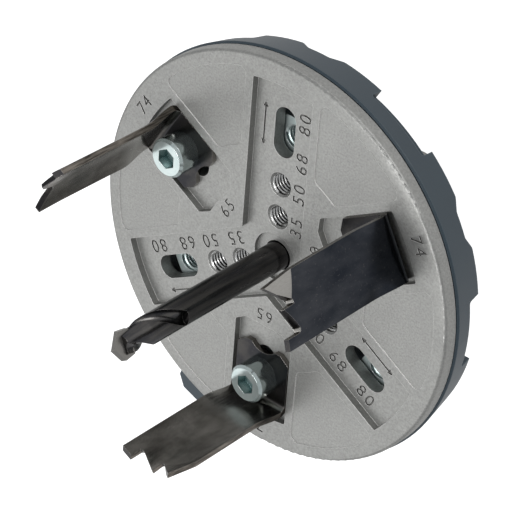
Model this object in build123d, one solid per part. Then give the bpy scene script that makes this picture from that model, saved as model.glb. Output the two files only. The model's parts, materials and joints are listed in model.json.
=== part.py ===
from build123d import *
import os
from math import cos, radians, sin, sqrt, tan

# Adjustable hole saw: a round carrier with three blades clamped at equal radii round a pilot drill.
# The origin is on the axis, at the shoulder where the round shank leaves the arbor's collar.
# +Z points along the axis, from the shank to the drill's tip.
# Sizes are in millimetres and degrees.

# Shank, collar, lock nut and washer, from the origin up
shank_radius = 5.0
shank_length = 22.0
shank_chamfer = 0.8
collar_radius = 8.0
collar_length = 8.0
collar_chamfer = 0.6
nut_gap = 0.5
lock_nut_width = 19.0
lock_nut_thickness = 6.0
lock_nut_chamfer_angle = 30.0
washer_radius = 12.0
washer_thickness = 2.0
nose_radius = 6.0
nose_length_in_disc = 4.2
nose_tip_gap = 0.3
nose_chamfer = 0.5

# Carrier disc
rim_width_beyond_slots = 12.66
rim_thickness = 3.0
disc_edge_round = 0.7
spigot_inset = 4.8
land_bottom_depth = 4.56
nut_groove_depth = 4.7
hub_recess_radius = 5.35
hub_recess_depth = 1.0

# Channels for the small and the large cuts, and pockets for the middle cuts
channel_azimuths = (90.0, 210.0, 330.0)
pocket_azimuths = (30.0, 150.0, 270.0)
channel_half_width = 7.62
channel_depth = 1.66
channel_end_inset = 4.7
pocket_half_width = 7.5
pocket_depth = 1.6
pocket_start_radius = 16.1
pocket_start_half_width = 4.8
pocket_chamfer_length = 1.8
pocket_end_inset = 6.6
recess_corner_radius = 0.5

# Shallow panels on the raised face, two on each spoke
panel_depth = 0.3
panel_inner_radius = 24.7
panel_outer_inset = 3.1
panel_spoke_offset = 9.4
panel_channel_offset = 9.5
panel_corner_radius = 1.6
spoke_to_channel_angle = 60.0

# Cut diameters marked on the disc, and how far the cut lies outside the screw's axis
tapped_cuts = (35.0, 50.0)
channel_slot_cuts = (68.0, 80.0)
pocket_slot_cuts = (65.0, 74.0)
blade_reach = 7.96
blade_set_back = 0.28
spare_nut_places = (0.75, 3.0, 4.5)

# Blade screws and square nuts
screw_radius = 2.5
screw_length = 8.0
screw_tip_chamfer = 0.5
screw_head_radius = 4.25
screw_head_height = 5.0
screw_head_chamfer = 0.55
screw_socket_width = 4.0
screw_socket_depth = 2.5
slot_clearance = 0.1
thread_clearance = 0.04
tapped_hole_chamfer = 0.45
nut_width = 8.0
nut_thickness = 4.0
nut_corner_chamfer = 0.5
nut_corner_chamfer_width = 1.0
nut_side_clearance = 0.15
nut_end_clearance = 0.3
nut_floor_clearance = 0.1

# Blades
sheet_thickness = 1.2
blade_half_width = 6.9
blade_curve_radius = 17.5
wall_reach = 7.1
blade_height = 35.5
blade_bend_radius = 1.3
foot_reach = 6.8
foot_tip_half_width = 4.6
foot_tip_chamfer_length = 1.6
foot_notch_radius = 4.15
foot_hole_clearance = 0.4
blade_seat_shifts = (0.0, 0.2, -0.3)
prong_width = 2.5
prong_drop = 0.55
prong_rise = 0.25
middle_tooth_offset = 1.2
middle_tooth_drop = 0.7
lead_tooth_offset = 5.9
lead_kink_depth = 7.3
lead_set = 1.0
middle_set = 0.35
tooth_root_depth = 8.0
tooth_headroom = 3.0
gullet_depth = 3.2
gullet_floor_width = 0.9
gullet_radius = 0.4
gullet_slant = 0.65
slant_start = 1.6
cutter_length = 10.0

# Back cover
joint_gap = 0.3
cover_overhang = 0.45
cover_taper = 0.2
cover_lip_chamfer = 0.4
cover_depth = 11.8
cover_bore_clearance = 0.1
cover_hole_clearance = 0.3
notch_azimuth_width = 20.0
notch_edge_depth = 8.2
notch_radial_depth = 3.95
notch_corner_radius = 0.6
scallop_depth = 1.6
scallop_floor_width = 5.4
scallop_shoulder_width = 2.6
scallop_corner_radius = 1.4
scallop_overcut = 0.03
lug_azimuth = 250.0
lug_azimuth_width = 19.0
lug_reach = 5.85
lug_thickness = 4.7
lug_corner_chamfer = 2.2

# Cover screws
cover_screw_azimuths = (0.0, 120.0, 240.0)
cover_screw_circle_inset = 7.9
cover_screw_radius = 2.0
cover_screw_head_radius = 3.7
cover_screw_length = 7.0
cover_screw_socket_width = 2.5
cover_screw_socket_depth = 1.3
cover_screw_hole_extra = 0.6

# Pilot drill and its carbide tip
drill_radius = 3.0
drill_fit = 0.03
drill_hole_clearance = 0.25
drill_foot_height = 2.0
drill_reach = 45.3
drill_flute_length = 15.6
drill_taper_length = 6.1
drill_top_radius = 2.1
flute_radius = 1.75
flute_offset = 3.0
flute_turn = 190.0
tip_azimuth = 115.0
tip_thickness = 1.2
tip_seat_depth = 2.2
tip_side_height = 2.9
tip_point_rise = 2.0
tip_half_width = 3.05
tip_foot_half_width = 2.6
tip_relief_angle = 14.0
tip_fit = 0.03

# Set screw that holds the drill
set_screw_radius = 2.5
set_screw_inset = 0.3
set_screw_socket_width = 2.5
set_screw_socket_depth = 2.0

# Levels along the axis, worked out from the stack above the shank
nut_bottom_z = collar_length + nut_gap
washer_bottom_z = nut_bottom_z + lock_nut_thickness
cover_back_z = washer_bottom_z + washer_thickness
face_z = cover_back_z + cover_depth
channel_floor_z = face_z - channel_depth
pocket_floor_z = face_z - pocket_depth
rim_bottom_z = face_z - rim_thickness
land_bottom_z = face_z - land_bottom_depth
disc_back_z = land_bottom_z - nut_groove_depth
nose_top_z = disc_back_z + nose_length_in_disc
foot_top_z = pocket_floor_z + sheet_thickness
blade_top_z = pocket_floor_z + blade_height
tooth_root_z = blade_top_z - tooth_root_depth
prong_height = blade_height - prong_drop
middle_tooth_height = blade_height - middle_tooth_drop
lead_kink_height = blade_height - lead_kink_depth
gullet_height = blade_height - gullet_depth
tip_point_z = face_z + drill_reach
tip_corner_z = tip_point_z - tip_point_rise
tip_seat_z = tip_corner_z - tip_side_height
drill_top_z = tip_seat_z + tip_seat_depth
cut_through = 1.0

# Radii worked out from the screws' places and from the disc
outer_slot_end = channel_slot_cuts[1] / 2 - blade_reach
disc_radius = outer_slot_end + rim_width_beyond_slots
spigot_radius = disc_radius - spigot_inset
cover_radius = disc_radius + cover_overhang
notch_floor_radius = cover_radius - notch_radial_depth
lug_radius = cover_radius + lug_reach
cover_screw_circle_radius = spigot_radius - cover_screw_circle_inset

AT_TOP = (Align.CENTER, Align.CENTER, Align.MAX)
AT_BOTTOM = (Align.CENTER, Align.CENTER, Align.MIN)


def screw_axis_radius(cut_diameter):
    """Radius of the blade screw's axis for a cut of this diameter."""
    return cut_diameter / 2 - blade_reach


def turned(shape, azimuth):
    """A shape modelled along +X, turned about the axis to an azimuth."""
    return Rot(0, 0, azimuth) * shape


def prism(plan, bottom, top):
    """A plan drawn on the XY plane, extruded between two levels."""
    return Pos(0, 0, bottom) * extrude(plan, amount=top - bottom)


def hexagon(width):
    """Hexagon with this size across its flats."""
    return RegularPolygon(width / 2, 6, major_radius=False)


def slot_plan(cuts, half_width):
    """Slot along +X with round ends, between the screw axes of two cuts."""
    inner, outer = (screw_axis_radius(cut) for cut in cuts)
    return Pos((inner + outer) / 2, 0) * SlotCenterToCenter(outer - inner, 2 * half_width)


def nut_groove_plan(cuts):
    """Groove along +X that holds a square nut between the screw axes of two cuts."""
    inner, outer = (screw_axis_radius(cut) for cut in cuts)
    length = outer - inner + nut_width + 2 * nut_end_clearance
    return Pos((inner + outer) / 2, 0) * Rectangle(length, nut_width + 2 * nut_side_clearance)


# Carrier disc


def channel_plan():
    """The three channels meet at the hub and end on one arc."""
    lane = Pos(disc_radius / 2, 0) * Rectangle(disc_radius, 2 * channel_half_width)
    lanes = Sketch() + [turned(lane, azimuth) for azimuth in channel_azimuths]
    plan = lanes & Circle(disc_radius - channel_end_inset)
    return fillet(plan.vertices(), recess_corner_radius)


def pocket_plan():
    """Pocket along +X: chamfered inner end, straight sides and an outer end on one arc."""
    start = pocket_start_radius
    outline = Polyline(
        (start, -pocket_start_half_width),
        (start, pocket_start_half_width),
        (start + pocket_chamfer_length, pocket_half_width),
        (disc_radius, pocket_half_width),
        (disc_radius, -pocket_half_width),
        (start + pocket_chamfer_length, -pocket_half_width),
        close=True,
    )
    plan = make_face(outline) & Circle(disc_radius - pocket_end_inset)
    return fillet(plan.vertices(), recess_corner_radius)


def panel_plan(side):
    """Shallow panel on one side of a spoke that runs along +X."""
    ring = Circle(disc_radius - panel_outer_inset) - Circle(panel_inner_radius)
    reach = disc_radius
    beside_spoke = Pos(0, panel_spoke_offset) * Rectangle(reach, reach, align=(Align.MIN, Align.MIN))
    beside_channel = Pos(0, -panel_channel_offset) * Rectangle(reach, reach, align=(Align.MIN, Align.MAX))
    plan = ring & beside_spoke & turned(beside_channel, spoke_to_channel_angle)
    plan = fillet(plan.vertices(), panel_corner_radius)
    return plan if side > 0 else mirror(plan, Plane.XZ)


def tapped_hole(floor_z, cut_diameter):
    """Hole for a blade screw with a chamfered mouth, on +X."""
    radius = screw_radius - tapped_hole_chamfer / 2
    hole = Pos(0, 0, floor_z) * Cylinder(radius, floor_z - disc_back_z, align=AT_TOP)
    mouth = Pos(0, 0, floor_z) * Cone(radius, radius + tapped_hole_chamfer, tapped_hole_chamfer, align=AT_TOP)
    return Pos(screw_axis_radius(cut_diameter), 0) * (hole + mouth)


def carrier_disc():
    rim = Pos(0, 0, face_z) * Cylinder(disc_radius, rim_thickness, align=AT_TOP)
    rim = fillet(rim.edges().filter_by(GeomType.CIRCLE).sort_by(Axis.Z)[-1], disc_edge_round)
    spigot = Pos(0, 0, disc_back_z) * Cylinder(spigot_radius, rim_bottom_z - disc_back_z, align=AT_BOTTOM)
    disc = rim + spigot
    disc -= prism(channel_plan(), channel_floor_z, face_z)
    disc -= Pos(0, 0, channel_floor_z) * Cylinder(hub_recess_radius, hub_recess_depth, align=AT_TOP)
    hub_bore_radius = nose_radius + thread_clearance
    bore_top = nose_top_z + nose_tip_gap
    disc -= Pos(0, 0, disc_back_z) * Cylinder(hub_bore_radius, bore_top - disc_back_z, align=AT_BOTTOM)
    drill_hole_radius = drill_radius + drill_hole_clearance
    disc -= Pos(0, 0, bore_top) * Cylinder(drill_hole_radius, face_z - bore_top, align=AT_BOTTOM)
    slot_half_width = screw_radius + slot_clearance
    for azimuth in channel_azimuths:
        for cut_diameter in tapped_cuts:
            disc -= turned(tapped_hole(channel_floor_z, cut_diameter), azimuth)
        slot = prism(slot_plan(channel_slot_cuts, slot_half_width), land_bottom_z, channel_floor_z)
        groove = prism(nut_groove_plan(channel_slot_cuts), disc_back_z, land_bottom_z)
        disc -= turned(slot, azimuth)
        disc -= turned(groove, azimuth)
    for azimuth in pocket_azimuths:
        disc -= turned(prism(pocket_plan(), pocket_floor_z, face_z), azimuth)
        slot = prism(slot_plan(pocket_slot_cuts, slot_half_width), land_bottom_z, pocket_floor_z)
        groove = prism(nut_groove_plan(pocket_slot_cuts), disc_back_z, land_bottom_z)
        disc -= turned(slot, azimuth)
        disc -= turned(groove, azimuth)
        for side in (-1, 1):
            disc -= turned(prism(panel_plan(side), face_z - panel_depth, face_z), azimuth)
    screw_hole = Pos(cover_screw_circle_radius, 0, disc_back_z) * Cylinder(
        cover_screw_radius + thread_clearance, cover_screw_top_z() + cover_screw_hole_extra - disc_back_z,
        align=AT_BOTTOM)
    for azimuth in cover_screw_azimuths:
        disc -= turned(screw_hole, azimuth)
    return disc


# Back cover


def skirt_radius(z):
    """Outer radius of the tapered skirt at a level."""
    return cover_radius - cover_taper * (face_z - rim_thickness - joint_gap - z)


def notch_cutter():
    """Block along +X that cuts the skirt back between two pads, with rounded corners."""
    half_angle = radians(notch_azimuth_width / 2)
    edge_z = face_z - notch_edge_depth
    half_width = skirt_radius(edge_z) * sin(half_angle)
    height = edge_z - cover_back_z
    profile = Pos(0, cover_back_z) * Rectangle(2 * half_width, height, align=(Align.CENTER, Align.MIN))
    upper = profile.vertices().sort_by(Axis.Y)[-2:]
    profile = fillet(upper, notch_corner_radius)
    return side_cutter(profile)


def scallop_cutter():
    """Smooth dip in the middle of a pad, cut along +X: a trapezoid with all four corners rounded."""
    floor = scallop_floor_width / 2
    mouth = floor + scallop_shoulder_width
    top = cover_back_z + scallop_depth
    under = cover_back_z - scallop_overcut
    low = cover_back_z - cut_through
    outline = Polyline(
        (-mouth - cut_through, low),
        (-mouth - cut_through, under),
        (-mouth, under),
        (-floor, top),
        (floor, top),
        (mouth, under),
        (mouth + cut_through, under),
        (mouth + cut_through, low),
        close=True,
    )
    profile = make_face(outline)
    shoulders = [corner for corner in profile.vertices() if abs(corner.X) < mouth + cut_through / 2]
    return side_cutter(fillet(shoulders, scallop_corner_radius))


def side_cutter(profile):
    """A profile of tangential width and level, cut radially outwards from the notch floor."""
    outward = Plane(origin=(0, 0, 0), x_dir=(0, 1, 0), z_dir=(1, 0, 0))
    cutter = extrude(outward * profile, amount=lug_radius)
    core = Pos(0, 0, cover_back_z - cut_through) * Cylinder(notch_floor_radius, cover_depth, align=AT_BOTTOM)
    return cutter - turned(core, 180)


def cover_lug():
    """Lug that stands out of the skirt at one azimuth, with chamfered outer corners."""
    half = radians(lug_azimuth_width / 2)
    base = notch_floor_radius
    half_width = lug_radius * sin(half)
    plan = Pos(base, 0) * Rectangle(lug_radius - base, 2 * half_width, align=(Align.MIN, Align.CENTER))
    outer = plan.vertices().sort_by(Axis.X)[-2:]
    plan = chamfer(outer, lug_corner_chamfer)
    top = rim_bottom_z - joint_gap
    lug = prism(plan, top - lug_thickness, top)
    return turned(lug, lug_azimuth)


def back_cover():
    lip_z = rim_bottom_z - joint_gap
    bore = spigot_radius + cover_bore_clearance
    back_radius = skirt_radius(cover_back_z)
    outline = Polyline(
        (nose_radius + cover_hole_clearance, cover_back_z),
        (back_radius, cover_back_z),
        (skirt_radius(lip_z - cover_lip_chamfer), lip_z - cover_lip_chamfer),
        (cover_radius - cover_lip_chamfer, lip_z),
        (bore, lip_z),
        (bore, disc_back_z),
        (nose_radius + cover_hole_clearance, disc_back_z),
        close=True,
    )
    cover = revolve(Plane.XZ * make_face(outline), Axis.Z)
    lug = cover_lug() - Pos(0, 0, disc_back_z) * Cylinder(bore, cover_depth, align=AT_BOTTOM)
    cover += lug
    for azimuth in pocket_azimuths + channel_azimuths:
        cover -= turned(scallop_cutter(), azimuth)
        cover -= turned(notch_cutter(), azimuth + spoke_to_channel_angle / 2)
    for azimuth in cover_screw_azimuths:
        cover -= turned(cover_screw_seat(), azimuth)
    return cover


# Cover screws


def cover_screw_top_z():
    """Level of the cover screw's tip."""
    return cover_back_z + cover_screw_length


def cover_screw_seat():
    """Countersunk hole through the cover's floor, on +X."""
    clear = thread_clearance
    hole = Cylinder(cover_screw_radius + clear, cover_depth, align=AT_BOTTOM)
    head = cover_screw_head_radius + clear
    sink = Cone(head, clear, head - clear, align=AT_BOTTOM)
    return Pos(cover_screw_circle_radius, 0, cover_back_z) * (hole + sink)


def cover_screw():
    """Countersunk screw on +X, head at the back of the cover."""
    head_height = cover_screw_head_radius - cover_screw_radius
    head = Cone(cover_screw_head_radius, cover_screw_radius, head_height, align=AT_BOTTOM)
    shank = Cylinder(cover_screw_radius, cover_screw_length, align=AT_BOTTOM)
    socket = extrude(hexagon(cover_screw_socket_width), amount=cover_screw_socket_depth)
    return Pos(cover_screw_circle_radius, 0, cover_back_z) * (head + shank - socket)


def cover_screws():
    return Compound(children=[turned(cover_screw(), azimuth) for azimuth in cover_screw_azimuths])


# Arbor, lock nut, washer and set screw


def arbor():
    """Shank, collar and threaded nose in one piece, bored for the drill."""
    shank = Cylinder(shank_radius, shank_length, align=AT_TOP)
    shank = chamfer(shank.edges().filter_by(GeomType.CIRCLE).sort_by(Axis.Z)[0], shank_chamfer)
    collar = Cylinder(collar_radius, collar_length, align=AT_BOTTOM)
    collar = chamfer(collar.edges().filter_by(GeomType.CIRCLE), collar_chamfer)
    nose = Cylinder(nose_radius, nose_top_z, align=AT_BOTTOM)
    nose = chamfer(nose.edges().filter_by(GeomType.CIRCLE).sort_by(Axis.Z)[-1], nose_chamfer)
    body = shank + collar + nose
    body -= Pos(0, 0, drill_foot_height) * Cylinder(drill_radius + drill_fit, nose_top_z, align=AT_BOTTOM)
    side_hole = Cylinder(set_screw_radius + thread_clearance, collar_radius, align=AT_BOTTOM)
    body -= Pos(0, 0, set_screw_z()) * Rot(0, 90, 0) * side_hole
    return body


def set_screw_z():
    """The set screw crosses the drill half way up the stretch that the collar holds."""
    return (drill_foot_height + collar_length) / 2


def drill_set_screw():
    """Set screw along +X that presses on the drill."""
    start = drill_radius + drill_fit
    length = collar_radius - set_screw_inset - start
    screw = Cylinder(set_screw_radius, length, align=AT_BOTTOM)
    socket = extrude(hexagon(set_screw_socket_width), amount=-set_screw_socket_depth)
    screw -= Pos(0, 0, length) * socket
    tip = screw.edges().filter_by(GeomType.CIRCLE).sort_by(Axis.Z)[0]
    screw = chamfer(tip, screw_tip_chamfer)
    return Pos(start, 0, set_screw_z()) * Rot(0, 90, 0) * screw


def washer():
    ring = Circle(washer_radius) - Circle(nose_radius + cover_hole_clearance)
    return prism(ring, washer_bottom_z, cover_back_z)


def lock_nut():
    """Hexagon nut with chamfered corners on the arbor's nose."""
    nut = prism(hexagon(lock_nut_width), nut_bottom_z, washer_bottom_z)
    corner_radius = lock_nut_width / 2 / cos(radians(30))
    rise = (corner_radius - lock_nut_width / 2) * tan(radians(lock_nut_chamfer_angle))
    span = lock_nut_thickness - 2 * rise
    waist = Cylinder(corner_radius, span)
    ends = Cone(corner_radius, lock_nut_width / 2, rise, align=AT_BOTTOM)
    envelope = waist + Pos(0, 0, span / 2) * ends + Pos(0, 0, -span / 2) * Rot(180, 0, 0) * ends
    nut &= Pos(0, 0, (nut_bottom_z + washer_bottom_z) / 2) * envelope
    bore = Cylinder(nose_radius + thread_clearance, lock_nut_thickness, align=AT_BOTTOM)
    return nut - Pos(0, 0, nut_bottom_z) * bore


# Blade screws and nuts


def blade_screw(axis_radius):
    """Cap screw with a hexagon socket, standing on the blade's foot."""
    head = Cylinder(screw_head_radius, screw_head_height, align=AT_BOTTOM)
    head = chamfer(head.edges().filter_by(GeomType.CIRCLE).sort_by(Axis.Z)[-1], screw_head_chamfer)
    shank = Cylinder(screw_radius, screw_length, align=AT_TOP)
    shank = chamfer(shank.edges().filter_by(GeomType.CIRCLE).sort_by(Axis.Z)[0], screw_tip_chamfer)
    socket = extrude(hexagon(screw_socket_width), amount=-screw_socket_depth)
    screw = head + shank - Pos(0, 0, screw_head_height) * socket
    return Pos(axis_radius, 0, foot_top_z) * screw


def square_nut(axis_radius, top_z):
    """Square nut under the land, with chamfered upper corners."""
    block = extrude(Rectangle(nut_width, nut_width), amount=-nut_thickness)
    corner_radius = nut_width / sqrt(2)
    envelope = Cylinder(corner_radius, nut_thickness - nut_corner_chamfer, align=AT_TOP)
    crown = Cone(corner_radius, corner_radius - nut_corner_chamfer_width, nut_corner_chamfer, align=AT_TOP)
    block &= crown + Pos(0, 0, -nut_corner_chamfer) * envelope
    block -= Cylinder(screw_radius + thread_clearance, nut_thickness, align=AT_TOP)
    return Pos(axis_radius, 0, top_z) * block


# Blades


def blade_section():
    """Section of foot, bend and wall, measured from the axis that the wall curves about."""
    outer = blade_curve_radius
    inner = outer - sheet_thickness
    bend_in = blade_bend_radius
    bend_out = blade_bend_radius + sheet_thickness
    top = blade_top_z
    foot_in = blade_curve_radius - wall_reach - foot_reach - foot_tip_half_width
    start = max(foot_in, sheet_thickness / 2)
    foot = Line((start, pocket_floor_z), (outer - bend_out, pocket_floor_z))
    outer_bend = RadiusArc((outer - bend_out, pocket_floor_z), (outer, pocket_floor_z + bend_out), -bend_out)
    outer_wall = Line((outer, pocket_floor_z + bend_out), (outer, top))
    rim = Line((outer, top), (inner, top))
    inner_wall = Line((inner, top), (inner, foot_top_z + bend_in))
    inner_bend = RadiusArc((inner, foot_top_z + bend_in), (inner - bend_in, foot_top_z), bend_in)
    foot_top = Line((inner - bend_in, foot_top_z), (start, foot_top_z))
    end = Line((start, foot_top_z), (start, pocket_floor_z))
    return make_face(foot + outer_bend + outer_wall + rim + inner_wall + inner_bend + foot_top + end)


def blade_plan():
    """Outline of the blade seen along the axis, with the screw's axis at the origin."""
    half = blade_half_width
    outline = Polyline(
        (-foot_reach, -foot_tip_half_width),
        (-foot_reach, foot_tip_half_width),
        (-foot_reach + foot_tip_chamfer_length, half),
        (wall_reach + sheet_thickness, half),
        (wall_reach + sheet_thickness, -half),
        (-foot_reach + foot_tip_chamfer_length, -half),
        close=True,
    )
    plan = make_face(outline)
    plan -= Pos(-screw_axis_radius(tapped_cuts[0]), 0) * Circle(foot_notch_radius)
    return plan - Circle(screw_radius + foot_hole_clearance)


def wall_ring():
    """Plan of the curved wall as a full ring, whose seam is turned away from the wall."""
    ring = Circle(blade_curve_radius) - Circle(blade_curve_radius - sheet_thickness)
    return Pos(wall_reach - blade_curve_radius, 0) * turned(ring, 180)


def through_wall(outline, slant=0.0):
    """An outline of tangential offset and height over the foot, cut outwards and down by the slant."""
    start = wall_reach - (slant_start if slant else cutter_length / 2)
    standing = Plane(origin=(start, 0, pocket_floor_z), x_dir=(0, 1, 0), z_dir=(1, 0, 0))
    return extrude(standing * outline, amount=cutter_length, dir=Vector(1, 0, -slant))


def gullet(start, tip_offset, tip_height, slant=0.0):
    """Gap between two teeth: upright flank, rounded floor and a sloping flank up to the next tip."""
    above = blade_height + tooth_headroom
    floor_end = start + gullet_floor_width
    slope = (tip_height + slant * sheet_thickness - gullet_height) / (tip_offset - floor_end)
    flank_end = floor_end + (above - gullet_height) / slope
    outline = make_face(Polyline(
        (start, above),
        (start, gullet_height),
        (floor_end, gullet_height),
        (flank_end, above),
        close=True,
    ))
    floor = outline.vertices().sort_by(Axis.Y)[:2]
    return through_wall(fillet(floor, gullet_radius), slant)


def prong_top():
    """Space over the prong, whose end slopes a little."""
    half = blade_half_width
    above = blade_height + tooth_headroom
    outline = Polyline(
        (-half, prong_height),
        (-half + prong_width, prong_height + prong_rise),
        (-half + prong_width, above),
        (-half, above),
        close=True,
    )
    return through_wall(make_face(outline))


def lead_tooth_back():
    """Space behind the lead tooth, whose back edge runs down to the kink."""
    half = blade_half_width
    above = blade_height + tooth_headroom
    outline = Polyline(
        (lead_tooth_offset, blade_height),
        (half, lead_kink_height),
        (half + cut_through, lead_kink_height),
        (half + cut_through, above),
        (lead_tooth_offset, above),
        close=True,
    )
    return through_wall(make_face(outline))


def set_tooth(start, end, start_height, end_height, lean):
    """Part of the wall between two offsets, leaned outwards above a straight crease."""
    width = end - start
    outward = Vector(1, 0, 0)
    strip = Pos(wall_reach, start) * Rectangle(cutter_length, width, align=(Align.CENTER, Align.MIN))
    upright = prism(wall_ring() & strip, tooth_root_z, blade_top_z)
    across = Vector(0, width, end_height - start_height)
    crease_start = (0, start, pocket_floor_z + start_height)
    crease = Plane(origin=crease_start, x_dir=outward, z_dir=outward.cross(across))
    below = split(upright, crease, keep=Keep.BOTTOM)
    root = below.faces().sort_by(lambda face: abs(crease.to_local_coords(face.center()).Z))[0]
    crease_depth = blade_height - min(start_height, end_height)
    leaned = extrude(root, amount=crease_depth + tooth_headroom, dir=Vector(lean / crease_depth, 0, 1))
    room = prism(Rectangle(4 * blade_curve_radius, 4 * blade_half_width), tooth_root_z, blade_top_z)
    return (below + leaned) & room


def blade(axis_radius, seat_shift):
    """Blade pressed from sheet: foot with screw hole, rounded bend, curved wall and set teeth."""
    centre = Pos(wall_reach - blade_curve_radius, 0)
    body = centre * revolve(Plane.XZ * blade_section(), Axis.Z)
    body &= prism(blade_plan(), pocket_floor_z, blade_top_z)
    half = blade_half_width
    middle_start = -half + prong_width
    beside_prong = (Align.CENTER, Align.MIN, Align.MIN)
    toothed_part = Box(cutter_length, half - middle_start, blade_height, align=beside_prong)
    body -= Pos(wall_reach, middle_start, tooth_root_z) * toothed_part
    body += set_tooth(middle_start, middle_tooth_offset, gullet_height, gullet_height, middle_set)
    body += set_tooth(middle_tooth_offset, half, gullet_height, lead_kink_height, -lead_set)
    for start, tip, height in ((middle_start, middle_tooth_offset, middle_tooth_height),
                               (middle_tooth_offset, lead_tooth_offset, blade_height)):
        body -= gullet(start, tip, height)
        body -= gullet(start, tip, height, gullet_slant)
    body -= prong_top()
    body -= lead_tooth_back()
    return Pos(axis_radius + seat_shift, 0) * body


# Pilot drill


def fluted_stretch():
    """Twisted stretch with two round-bottomed flutes."""
    land = Circle(drill_radius)
    for side in (-1, 1):
        land -= Pos(side * flute_offset, 0) * Circle(flute_radius)
    start = drill_top_z - drill_flute_length
    rise = drill_flute_length
    return Solid.extrude_linear_with_rotation(land.face(), (0, 0, 0), (0, 0, rise), flute_turn).moved(
        Location((0, 0, start)))


def pilot_drill():
    foot = drill_foot_height
    plain_top = drill_top_z - drill_flute_length
    plain = Pos(0, 0, foot) * Cylinder(drill_radius, plain_top - foot, align=AT_BOTTOM)
    drill = plain + fluted_stretch()
    taper_z = drill_top_z - drill_taper_length
    envelope = Pos(0, 0, foot) * Cylinder(drill_radius, taper_z - foot, align=AT_BOTTOM)
    envelope += Pos(0, 0, taper_z) * Cone(drill_radius, drill_top_radius, drill_taper_length, align=AT_BOTTOM)
    drill &= envelope
    seat_width = tip_thickness + 2 * tip_fit
    seat = Box(2 * tip_half_width + cut_through, seat_width, 2 * tip_seat_depth, align=AT_BOTTOM)
    return drill - Pos(0, 0, tip_seat_z) * turned(seat, tip_azimuth)


def drill_tip():
    """Carbide plate with two relieved lips, seated in the drill's slot."""
    outline = Polyline(
        (-tip_foot_half_width, tip_seat_z),
        (tip_foot_half_width, tip_seat_z),
        (tip_half_width, tip_corner_z),
        (0, tip_point_z),
        (-tip_half_width, tip_corner_z),
        close=True,
    )
    plate = extrude(Plane.XZ * make_face(outline), amount=tip_thickness / 2, both=True)
    slope = tip_point_rise / tip_half_width
    for side in (0, 180):
        over_lip = (Align.MIN, Align.MIN, Align.MIN)
        relief = Box(4 * tip_half_width, 2 * tip_thickness, tip_half_width, align=over_lip)
        point = Pos(0, -tip_thickness / 2, tip_point_z)
        lip_angle = Rot(0, degrees_of(slope), 0)
        plate -= turned(point * lip_angle * Rot(-tip_relief_angle, 0, 0) * relief, side)
    return turned(plate, tip_azimuth)


def degrees_of(slope):
    """Angle of a slope given as rise over run."""
    return Vector(1, 0, 0).get_angle(Vector(1, 0, slope))


# All nodes


def build_nodes():
    nodes = {
        "carrier_disc": carrier_disc(),
        "back_cover": back_cover(),
        "cover_screws": cover_screws(),
        "arbor": arbor(),
        "arbor_washer": washer(),
        "arbor_lock_nut": lock_nut(),
        "drill_set_screw": drill_set_screw(),
        "pilot_drill": pilot_drill(),
        "drill_tip": drill_tip(),
    }
    spare_nut_top_z = disc_back_z + nut_floor_clearance + nut_thickness
    blade_axis_radius = screw_axis_radius(pocket_slot_cuts[1]) - blade_set_back
    for number, azimuth in enumerate(pocket_azimuths, start=1):
        nodes[f"blade_{number}"] = turned(blade(blade_axis_radius, blade_seat_shifts[number - 1]), azimuth)
        nodes[f"blade_screw_{number}"] = turned(blade_screw(blade_axis_radius), azimuth)
        nodes[f"blade_nut_{number}"] = turned(square_nut(blade_axis_radius, land_bottom_z), azimuth)
    for number, azimuth in enumerate(channel_azimuths, start=1):
        axis_radius = screw_axis_radius(channel_slot_cuts[0]) + spare_nut_places[number - 1]
        nodes[f"slot_nut_{number}"] = turned(square_nut(axis_radius, spare_nut_top_z), azimuth)
    return nodes


os.makedirs("parts", exist_ok=True)
for name, shape in build_nodes().items():
    export_step(shape, f"parts/{name}.step")
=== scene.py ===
# %% [markdown]
# This lesson dresses an adjustable hole saw: a cast disc that carries three toothed blades round a pilot
# drill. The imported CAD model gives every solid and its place, so the script only adds what a solid can't
# show: stamped numbers, screw threads, finishes, light and a camera. The model is loaded first, because
# everything after it takes its places from there.

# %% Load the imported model
import json
from math import radians, tau

import bmesh
import bpy
from mathutils import Euler, Matrix, Vector


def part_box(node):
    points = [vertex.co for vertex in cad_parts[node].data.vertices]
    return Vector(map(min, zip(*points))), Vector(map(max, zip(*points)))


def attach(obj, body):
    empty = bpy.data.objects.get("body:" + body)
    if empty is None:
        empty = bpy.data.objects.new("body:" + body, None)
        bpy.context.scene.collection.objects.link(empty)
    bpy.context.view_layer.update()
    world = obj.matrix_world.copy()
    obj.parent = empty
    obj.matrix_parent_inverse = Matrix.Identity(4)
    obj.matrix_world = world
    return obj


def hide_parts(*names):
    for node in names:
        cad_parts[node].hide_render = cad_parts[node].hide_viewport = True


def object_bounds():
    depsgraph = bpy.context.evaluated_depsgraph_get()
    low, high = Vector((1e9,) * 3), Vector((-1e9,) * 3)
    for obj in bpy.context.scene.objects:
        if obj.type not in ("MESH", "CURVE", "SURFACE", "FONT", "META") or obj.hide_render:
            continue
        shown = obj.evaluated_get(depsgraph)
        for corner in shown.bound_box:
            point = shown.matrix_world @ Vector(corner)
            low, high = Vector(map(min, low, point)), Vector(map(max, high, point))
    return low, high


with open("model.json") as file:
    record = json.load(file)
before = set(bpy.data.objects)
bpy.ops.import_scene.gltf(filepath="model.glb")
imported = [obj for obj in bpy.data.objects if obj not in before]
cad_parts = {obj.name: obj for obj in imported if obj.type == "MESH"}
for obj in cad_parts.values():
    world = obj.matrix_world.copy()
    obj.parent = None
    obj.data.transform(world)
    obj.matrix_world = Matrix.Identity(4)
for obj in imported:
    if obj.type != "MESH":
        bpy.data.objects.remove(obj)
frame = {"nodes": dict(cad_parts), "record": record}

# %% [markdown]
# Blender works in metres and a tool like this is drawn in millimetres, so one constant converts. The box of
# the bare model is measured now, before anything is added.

MM = 0.001
bare_low, bare_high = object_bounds()
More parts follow.
